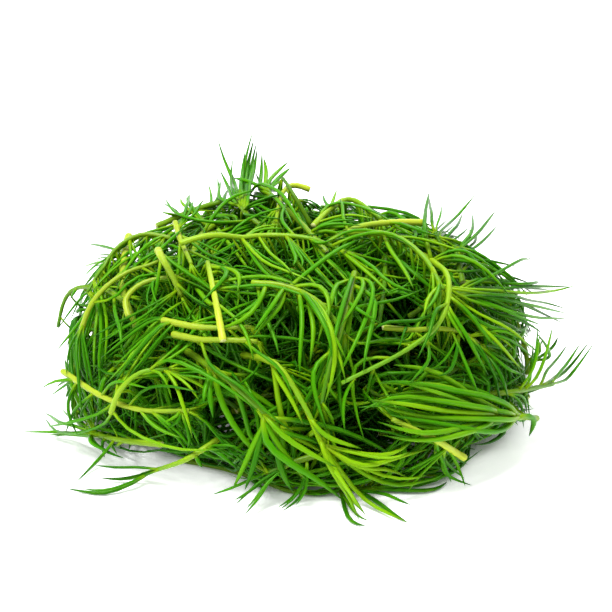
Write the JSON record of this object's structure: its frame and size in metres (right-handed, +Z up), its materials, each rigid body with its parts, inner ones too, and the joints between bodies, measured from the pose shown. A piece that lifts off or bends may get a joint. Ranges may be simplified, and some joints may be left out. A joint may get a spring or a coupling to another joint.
{
  "type": "romeritos heap",
  "caption": "Loose heap of fresh cut romeritos: thin needle-leaved herb sprigs with yellow-green stems, tangled in a low mound lying on a surface.",
  "frame": {"origin": "on the surface the heap lies on, under the middle of its outline", "axes": "+X to the right along the heap's width, -Y towards the side the picture shows, +Z up from the surface"},
  "size_m": [0.1702, 0.1535, 0.0643],
  "materials": {
    "leaf_green": "satin",
    "stem_yellow_green": "satin"
  },
  "bodies": {
    "root": {"back_sprig_01": "leaf_green", "back_sprig_02": "leaf_green", "back_sprig_03": "leaf_green", "back_sprig_04": "leaf_green", "back_sprig_05": "leaf_green", "back_sprig_06": "leaf_green", "back_sprig_07": "leaf_green", "back_sprig_08": "leaf_green", "back_sprig_09": "leaf_green", "back_sprig_10": "leaf_green", "base_sprig_01": "leaf_green", "base_sprig_02": "leaf_green", "base_sprig_03": "leaf_green", "base_sprig_04": "leaf_green", "base_sprig_05": "leaf_green", "base_sprig_06": "leaf_green", "base_sprig_07": "leaf_green", "bright_stub": "stem_yellow_green", "core_sprig_01": "leaf_green", "core_sprig_02": "leaf_green", "core_sprig_03": "leaf_green", "core_sprig_04": "leaf_green", "core_sprig_05": "leaf_green", "crown_arc": "leaf_green", "crown_arch_left": "leaf_green", "crown_bow": "leaf_green", "crown_crest": "leaf_green", "crown_hook": "stem_yellow_green", "crown_needle": "leaf_green", "crown_needles": "leaf_green", "crown_stub": "stem_yellow_green", "front_bundle": "leaf_green", "front_left_tuft": "leaf_green", "front_wide_leafy": "leaf_green", "left_arc": "leaf_green", "left_curl": "stem_yellow_green", "left_cut_stem": "stem_yellow_green", "left_floor_leafy": "leaf_green", "left_floor_long": "leaf_green", "left_high_fan": "leaf_green", "left_loop": "leaf_green", "left_low_stem": "stem_yellow_green", "left_olive_stem": "stem_yellow_green", "left_stack_lower": "stem_yellow_green", "left_stack_upper": "stem_yellow_green", "left_stub": "stem_yellow_green", "left_upright_stem": "stem_yellow_green", "long_arch": "leaf_green", "middle_cords": "leaf_green", "right_bow": "leaf_green", "right_fan": "leaf_green", "right_floor_sprig": "leaf_green", "right_needles": "leaf_green", "right_spray": "leaf_green", "right_thick_stem": "stem_yellow_green", "round_end": "stem_yellow_green", "second_arch": "leaf_green", "top_tuft": "leaf_green"}
  },
  "joints": []
}
